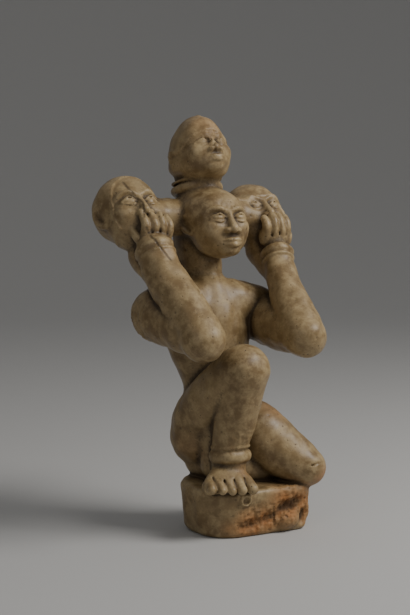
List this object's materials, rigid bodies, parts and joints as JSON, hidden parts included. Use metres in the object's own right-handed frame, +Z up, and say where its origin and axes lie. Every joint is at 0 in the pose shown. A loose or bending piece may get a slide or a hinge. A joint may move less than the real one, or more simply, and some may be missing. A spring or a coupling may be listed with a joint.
{
  "type": "kneeling figure carving",
  "caption": "Stone carving of a kneeling figure on a block base, its raised hands holding two heads beside its own and a third head on top.",
  "frame": {"origin": "middle of the base block's flat underside", "axes": "+Z up through the heads, -Y the way the figure faces, +X towards the figure's left"},
  "size_m": [0.2147, 0.1827, 0.4125],
  "materials": {
    "carved_stone": "hand polished, worn, with dirt in the cuts"
  },
  "bodies": {
    "root": {"kneeling_figure": "carved_stone"}
  },
  "joints": []
}
